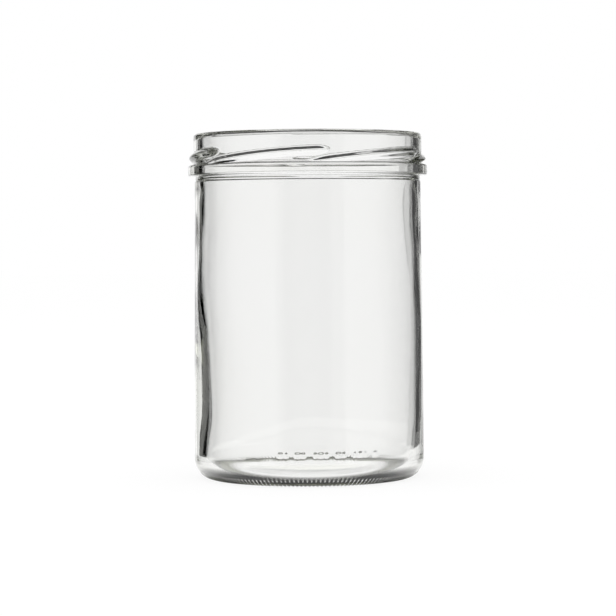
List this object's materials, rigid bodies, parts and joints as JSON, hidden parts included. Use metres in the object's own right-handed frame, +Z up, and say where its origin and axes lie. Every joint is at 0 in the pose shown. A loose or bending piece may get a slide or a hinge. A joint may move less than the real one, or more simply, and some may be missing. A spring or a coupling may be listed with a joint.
{
  "type": "canning jar",
  "caption": "Straight-sided clear glass preserving jar with a wide twist-off mouth, a neck bead, slanting closure lugs and a domed base; empty, without its lid.",
  "frame": {"origin": "centre of the standing ring, on the surface the jar stands on", "axes": "+Z up along the jar's axis towards the mouth, -Y the front, +X to the right seen from the front"},
  "size_m": [0.0811, 0.081, 0.1165],
  "materials": {
    "glass": "clear soda-lime container glass, faint green-grey tint where thick"
  },
  "bodies": {
    "root": {"jar": "glass"}
  },
  "joints": []
}
